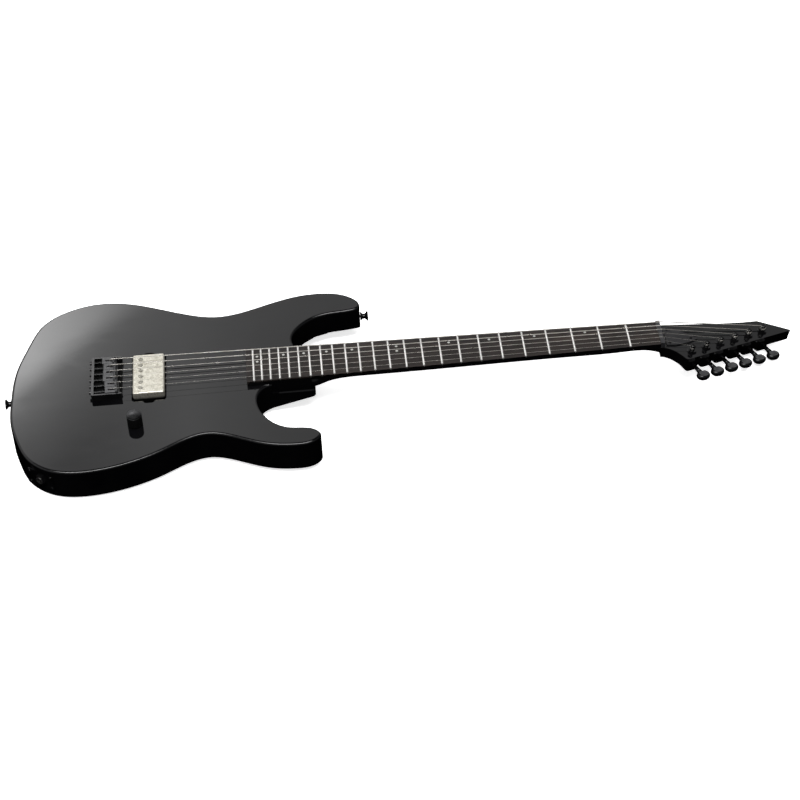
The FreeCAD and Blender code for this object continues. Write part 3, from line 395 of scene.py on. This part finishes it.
# ---- pieces that the frame leaves to this script -----------------------------
SCALE = 647.7
NUT_HALF_WIDTH = 21.0
SIDE_DOT_FRETS = (3, 5, 7, 9, 12, 15, 17, 19, 21, 24)
SIDE_DOT_PAIRS = {12: (-4.0, 4.0), 24: (-2.6, 2.6)}
SIDE_DOT_RISE = 3.2
SIDE_DOT_R = 1.0
SIDE_DOT_DEPTH = 0.4
SIDE_DOT_PROUD = 0.03
SIDE_DOT_EDGE = 0.02
SIDE_DOT_SIDES = 20


def fret_x(number):
    return SCALE / 2 ** (number / 12)


def make_side_dots(materials):
    """Position dots in the bass edge of the fretboard."""
    low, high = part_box("fretboard")
    half_end = high.y / MM
    slope = (half_end - NUT_HALF_WIDTH) / ((high.x - low.x) / MM)
    middle = low.z / MM + SIDE_DOT_RISE
    rim = SIDE_DOT_DEPTH + SIDE_DOT_PROUD
    profile = [(SIDE_DOT_R, 0), (SIDE_DOT_R, rim - SIDE_DOT_EDGE), (SIDE_DOT_R * 0.9, rim),
               (SIDE_DOT_EDGE, rim)]
    shapes = []
    for number in SIDE_DOT_FRETS:
        x = (fret_x(number) + fret_x(number - 1)) / 2
        for shift in SIDE_DOT_PAIRS.get(number, (0.0,)):
            edge = NUT_HALF_WIDTH + (high.x / MM - x - shift) * slope
            base = Vector((x + shift, edge - SIDE_DOT_DEPTH, middle)) * MM
            shapes.append(lathe(profile, base, (slope, 1, 0), SIDE_DOT_SIDES))
    new_piece("side_dots", *joined(*shapes), materials["pearl"], "guitar", "pearl")


REAR_WALL_T = 3.0
SPRING_WIRE_R = 0.3
SPRING_COIL_R = 1.75
SPRING_TURNS = 8
SPRING_STEPS_A_TURN = 16
SPRING_SIDES = 8
SPRING_END_GAP = 0.05
SPRING_END_CROWDING = 0.012


def make_springs(materials):
    """Coil spring round each intonation screw, between the bridge's rear wall and the saddle."""
    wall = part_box("bridge_plate")[0].x + REAR_WALL_T * MM
    steps = SPRING_TURNS * SPRING_STEPS_A_TURN
    for k in STRINGS:
        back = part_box(f"saddle_{k}")[0].x
        low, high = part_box(f"intonation_screw_{k}")
        y, z = (low.y + high.y) / 2, (low.z + high.z) / 2
        coil_r = SPRING_COIL_R * MM
        start, end = wall + SPRING_WIRE_R * MM, back - (SPRING_WIRE_R + SPRING_END_GAP) * MM
        path = []
        for i in range(steps + 1):
            share = i / steps
            angle = 2 * math.pi * SPRING_TURNS * share
            crowding = SPRING_END_CROWDING * math.sin(2 * math.pi * share)
            x = start + (end - start) * (share - crowding)
            path.append(Vector((x, y + coil_r * math.cos(angle), z + coil_r * math.sin(angle))))
        spring = new_piece(f"intonation_spring_{k}", *swept(path, SPRING_WIRE_R * MM, SPRING_SIDES),
                           materials["black_metal"], "guitar", "black_metal")
        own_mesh(spring)


BUTTON_HALF = (8.7, 6.5, 3.55)
BUTTON_REACH = 25.0
BUTTON_SIDES = 48
BUTTON_ROUNDNESS = 0.86
BUTTON_WAIST = 0.10
BUTTON_FACE = 0.74
BUTTON_CREASE = 0.9
BUTTON_LEVELS = [(-0.80, 0.02), (-0.82, 0.4), (-0.9, 0.62), (-1.0, 0.7), (-0.97, 0.78), (-0.72, 0.92),
                 (-0.3, 0.995), (0.3, 0.995), (0.72, 0.92), (0.97, 0.78), (1.0, 0.7), (0.9, 0.62),
                 (0.82, 0.4), (0.80, 0.02)]
SHAFT_PROFILE = [(1.2, 3.0), (1.25, 9.2), (2.6, 9.4), (2.6, 14.6), (2.8, 14.9), (2.8, 15.9), (2.6, 16.1),
                 (2.6, 16.4), (3.0, 16.7), (3.0, 19.6), (2.4, 20.6), (2.0, 22.5)]
SHAFT_SIDES = 32


def squarer(value):
    """A sine or cosine pushed outwards, so that an ellipse drawn with it has fuller corners."""
    return math.copysign(abs(value) ** BUTTON_ROUNDNESS, value)


def button_ring(centre, along, out, face, height, size):
    """One level of a tuner button: height and size are shares of its half thickness and half widths."""
    half_along, half_out, half_up = BUTTON_HALF
    ring = []
    for j in range(BUTTON_SIDES):
        a = 2 * math.pi * j / BUTTON_SIDES
        u, v = squarer(math.cos(a)), squarer(math.sin(a))
        waist = 1.0 - BUTTON_WAIST * max(0.0, -v) * (1 - abs(u))
        ring.append(centre + (along * half_along * u * size + out * half_out * v * size * waist
                              + face * half_up * height) * MM)
    return ring


def make_tuner_buttons(materials):
    """Tuner button on its shaft: an oval with a shallow dished face, a bevelled rim and a collar."""
    half_along, half_out, _ = BUTTON_HALF
    for k in STRINGS:
        joint = JOINTS[f"tuner_button_{k}_turn"]
        origin = Vector(joint["pos_m"])
        out = Vector(joint["axis"]).normalized()
        face = Vector(JOINTS[f"tuner_post_{k}_turn"]["axis"]).normalized()
        along = out.cross(face).normalized()
        centre = origin + out * BUTTON_REACH * MM
        button = skin([button_ring(centre, along, out, face, height, size) for height, size in BUTTON_LEVELS])
        shaft = lathe(SHAFT_PROFILE, origin, out, SHAFT_SIDES)
        piece = new_piece(f"tuner_button_{k}_detailed", *joined(button, shaft), materials["tuner_grey"],
                          f"tuner_button_{k}", "tuner_grey")
        # The rim round the face gets the darker black metal as painted shade on its bevel; the shaft gets it too.
        piece.data.materials.append(materials["black_metal"])
        for polygon in piece.data.polygons:
            arm = polygon.center - centre
            spread = math.hypot(arm.dot(along) / half_along, arm.dot(out) / half_out) / MM
            if spread > BUTTON_FACE or arm.dot(out) < -half_out * MM:
                polygon.material_index = 1
        soften(piece, BUTTON_CREASE)
        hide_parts(f"tuner_button_{k}")


POST_TOP = 9.0
POST_SLOT_DEPTH = 1.9
POST_R = 2.55
WRAP_FROM, WRAP_TO = 3.2, 5.8
WIRE_R = [0.127, 0.165, 0.216, 0.33, 0.457, 0.584]
TAIL_SIDES = 8
TAIL_CLIMB_STEPS = 8
TAIL_CLIMB_POWER = 1.5
TAIL_OVER_SLOT = ((2.2, 0.25), (0.8, 0.3), (-1.6, 0.3), (-3.6, 0.5))


def make_string_tails(materials):
    """Cut end of each string, from the top winding over the post's slot."""
    top = POST_TOP - POST_SLOT_DEPTH
    for k in STRINGS:
        joint = JOINTS[f"tuner_post_{k}_turn"]
        origin, up = Vector(joint["pos_m"]), Vector(joint["axis"]).normalized()
        cross = Vector(JOINTS[f"tuner_button_{k}_turn"]["axis"]).normalized()
        along = cross.cross(up).normalized()
        r = WIRE_R[k - 1]
        ring = POST_R + r
        path = []
        for i in range(TAIL_CLIMB_STEPS + 1):
            share = i / TAIL_CLIMB_STEPS
            a = math.pi * (1.0 - share)
            lift = WRAP_TO - r + (top - WRAP_TO + r) * share ** TAIL_CLIMB_POWER
            round_post = cross * ring * math.sin(a) - along * ring * math.cos(a)
            path.append(origin + (round_post + up * lift) * MM)
        path += [origin + (up * (top + lift) - along * x) * MM for x, lift in TAIL_OVER_SLOT]
        new_piece(f"string_tail_{k}", *swept(path, r * MM, TAIL_SIDES), materials["string_steel"],
                  f"tuner_post_{k}", "string_steel")


# ---- finishes and painted shade on the frame's own nodes -----------------------
BRIDGE_FLOOR_T = 3.0
SHARP_EDGED = ["bridge_plate", "volume_knob"]
SHARP_ANGLE = 0.5
# The pole screws get their own darker nickel. The pickup's baseplate gets black metal as painted shade, for the
# shadow it sits in down in the cavity.
SPECIAL_FINISH_AND_SHADE = {"pole_screws": "pole_nickel", "pickup_baseplate": "black_metal"}
# Limits on one part of a face's normal: 1 is facing that way, 0 is edge-on to it.
LEVEL = 0.9
LEANING = 0.7
TOP_OF_KNOB = 0.3
SIDE_OF_KNOB = 0.2
LARGE_FACE = 1e-5
WRAP_MARGIN = 0.02
WRAP_LEAST_R = 2.6


def paint(node, material, wanted):
    """Adds a material to a node and gives it to the faces that pass the test."""
    node.data.materials.append(material)
    slot = len(node.data.materials) - 1
    for face in node.data.polygons:
        if wanted(face):
            face.material_index = slot


def finish_and_shade_nodes(materials):
    slots = {part["node"]: part["material_slot"] for part in frame["record"]["subparts"]}
    for name, node in NODES.items():
        finish = SPECIAL_FINISH_AND_SHADE.get(name, slots[name])
        if name.startswith("saddle_"):
            finish = "saddle_metal"
        node.data.materials.clear()
        node.data.materials.append(materials[finish])
    for name in SHARP_EDGED:
        soften(NODES[name], SHARP_ANGLE)
    for k in STRINGS:
        paint_windings(k, materials["winding_steel"])
    # Painted shade: the bridge plate's walls that face the near side, and its floor between the walls, get a dull
    # near-black standing in for the shade on them.
    floor_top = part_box("bridge_plate")[0].z + (BRIDGE_FLOOR_T + 0.5) * MM
    paint(NODES["bridge_plate"], materials["black_matte"], lambda face: face.normal.y < -LEANING
          or (face.normal.z > LEVEL and face.center.z < floor_top))
    paint(NODES["fretboard"], materials["gloss_black"],
          lambda face: abs(face.normal.z) < LEANING and face.area > LARGE_FACE)
    paint(NODES["volume_knob"], materials["knob_metal"], lambda face: face.normal.z > TOP_OF_KNOB)
    # Painted shade: the knob's upright sides get a dull near-black.
    paint(NODES["volume_knob"], materials["black_matte"], lambda face: abs(face.normal.z) < SIDE_OF_KNOB)


def paint_windings(k, steel):
    """The faces of a tuner post that are the string's windings get the string's finish."""
    joint = JOINTS[f"tuner_post_{k}_turn"]
    origin, up = Vector(joint["pos_m"]), Vector(joint["axis"]).normalized()

    def is_winding(face):
        arm = face.center - origin
        height = arm.dot(up) / MM
        radius = (arm - up * arm.dot(up)).length / MM
        return WRAP_FROM - WRAP_MARGIN < height < WRAP_TO + WRAP_MARGIN and radius > WRAP_LEAST_R

    paint(NODES[f"tuner_post_{k}"], steel, is_winding)


# ---- floor and light ----------------------------------------------------------
FLOOR_HALF = 30.0
FLOOR_GAP = 0.0004
FLOOR_GLOW = 0.75


def make_floor():
    """Pale table top under the body's back and the lowest tuner, with a little light of its own.

    The glow keeps shadows faint. The guitar neither mirrors the floor nor is lit by it."""
    low = cad_bounds[0]
    tuner_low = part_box("tuner_button_6")[0]
    rise = tuner_low.z / (tuner_low.x - low.x)
    corners = [(x, y, (x - low.x) * rise - FLOOR_GAP)
               for x, y in ((-FLOOR_HALF, -FLOOR_HALF), (FLOOR_HALF, -FLOOR_HALF),
                            (FLOOR_HALF, FLOOR_HALF), (-FLOOR_HALF, FLOOR_HALF))]
    mesh = bpy.data.meshes.new("floor")
    mesh.from_pydata(corners, [], [(0, 1, 2, 3)])
    floor = bpy.data.objects.new("floor", mesh)
    bpy.context.scene.collection.objects.link(floor)
    material, n, surface = new_material("pale_floor")
    mottle = n.noise(3.0, 2.0)
    n.link(n.ramp(mottle, *greys((0.3, 0.90), (0.7, 0.93))), surface.inputs["Base Color"])
    n.link(n.ranged(mottle, 0.3, 0.7, 0.8, 0.9), surface.inputs["Roughness"])
    surface.inputs["Specular IOR Level"].default_value = 0.0
    surface.inputs["Emission Color"].default_value = (1.0, 1.0, 1.0, 1.0)
    surface.inputs["Emission Strength"].default_value = FLOOR_GLOW
    mesh.materials.append(material)
    floor.visible_glossy = False
    floor.visible_diffuse = False


# Light by height, where 0 is the horizon and 1 is straight up.
HEIGHT_LIGHT = ((0.0, 0.35), (0.3, 0.85), (0.6, 1.0), (0.71, 0.95), (0.8, 0.25), (1.0, 0.08))
# Light by bearing, in degrees to the right of straight ahead.
BEARING_LIGHT = ((-180, 0.3), (-90, 0.6), (-25, 0.85), (-8, 0.88), (-6, 1.06), (-4.6, 1.3), (-2, 0.97),
                 (0, 0.86), (12, 0.66), (31, 0.45), (48, 0.16), (90, 0.12), (180, 0.3))
HORIZON_BLUR = 0.02
# The soft box leans: its middle is at this bearing and elevation, in degrees, and it rises to the right.
SOFT_BOX = 5.6
SOFT_BOX_BEARING, SOFT_BOX_ELEVATION = -8.0, 39.0
SOFT_BOX_LEAN = 0.4
SOFT_BOX_BEARINGS = (-24.0, 0.0)
SOFT_BOX_HEIGHTS = (-8.0, 4.0)
SOFT_BOX_ACROSS = ((0.0, 0.0), (0.42, 1.0), (0.61, 1.0), (0.69, 0.62), (0.83, 0.0))
SOFT_BOX_UPWARD = ((0.0, 0.0), (0.25, 1.0), (0.70, 1.0), (0.75, 0.28), (0.84, 0.11), (0.94, 0.0))
# The strip is high up on the near side, so that it lights metal tops and leaves upright black sides alone.
FRONT_STRIP = 12.0
STRIP_HEIGHTS = ((0.83, 0.0), (0.88, 1.0), (0.95, 1.0), (0.98, 0.0))
STRIP_FADE = (-0.1, -0.25)


def make_world():
    """White studio: bright at middle heights, dim straight above, dark below, with a soft box and a strip."""
    world = bpy.data.worlds.new("studio")
    bpy.context.scene.world = world
    world.use_nodes = True
    n = Nodes(world.node_tree)
    coords = n.add("ShaderNodeTexCoord")
    parts = n.add("ShaderNodeSeparateXYZ")
    n.link(coords.outputs["Generated"], parts.inputs["Vector"])
    x, y, z = parts.outputs
    by_height = n.ramp(n.math("MAXIMUM", z, 0.0), *greys(*HEIGHT_LIGHT))
    bearing = n.math("ARCTAN2", x, y)
    turn = n.ranged(bearing, -math.pi, math.pi, 0.0, 1.0)
    by_bearing = n.ramp(turn, *greys(*((0.5 + degrees / 360, level) for degrees, level in BEARING_LIGHT)))
    above = n.ranged(z, -HORIZON_BLUR, HORIZON_BLUR, 0.0, 1.0)
    base = n.math("MULTIPLY", n.math("MULTIPLY", by_height, by_bearing), above)
    elevation = n.math("MULTIPLY", n.math("ARCSINE", z), 180 / math.pi)
    swing = n.math("MULTIPLY", bearing, 180 / math.pi)
    lean = n.math("MULTIPLY", n.math("ADD", swing, -SOFT_BOX_BEARING), SOFT_BOX_LEAN)
    height = n.math("ADD", n.math("SUBTRACT", elevation, SOFT_BOX_ELEVATION), lean)
    across = n.ramp(n.ranged(swing, *SOFT_BOX_BEARINGS, 0.0, 1.0), *greys(*SOFT_BOX_ACROSS))
    upward = n.ramp(n.ranged(height, *SOFT_BOX_HEIGHTS, 0.0, 1.0), *greys(*SOFT_BOX_UPWARD))
    soft_box = n.math("MULTIPLY", n.math("MULTIPLY", across, upward), SOFT_BOX)
    strip = n.ramp(n.math("MAXIMUM", z, 0.0), *greys(*STRIP_HEIGHTS))
    front = n.math("MULTIPLY", strip, n.ranged(y, *STRIP_FADE, 0.0, FRONT_STRIP))
    light = n.math("ADD", n.math("ADD", base, soft_box), front)
    paths = n.add("ShaderNodeLightPath")
    shown = n.add("ShaderNodeMix", data_type="FLOAT")
    n.link(paths.outputs["Is Camera Ray"], shown.inputs["Factor"])
    n.link(light, shown.inputs["A"])
    shown.inputs["B"].default_value = 1.0
    background = world.node_tree.nodes["Background"]
    background.inputs["Color"].default_value = (1.0, 1.0, 1.0, 1.0)
    n.link(shown.outputs["Result"], background.inputs["Strength"])


LAMP_SIZE = 5.0
LAMP_POWER = 66.0
LAMP_AT = (0.1, 0.5, 2.6)
LAMP_AIM = (0.2, -0.5, -2.6)


def make_lamp():
    """Large soft lamp overhead, seen only as light on matt surfaces."""
    data = bpy.data.lights.new("overhead", "AREA")
    data.shape = "DISK"
    data.size = LAMP_SIZE
    data.energy = LAMP_POWER
    lamp = bpy.data.objects.new("overhead", data)
    lamp.location = LAMP_AT
    lamp.rotation_euler = Vector(LAMP_AIM).to_track_quat("-Z", "Y").to_euler()
    lamp.visible_glossy = False
    lamp.visible_camera = False
    bpy.context.scene.collection.objects.link(lamp)


bpy.context.scene.view_settings.view_transform = "Standard"
make_camera()
make_world()
make_lamp()
make_floor()
MATERIALS = make_materials()
finish_and_shade_nodes(MATERIALS)
make_side_dots(MATERIALS)
make_springs(MATERIALS)
make_tuner_buttons(MATERIALS)
make_string_tails(MATERIALS)
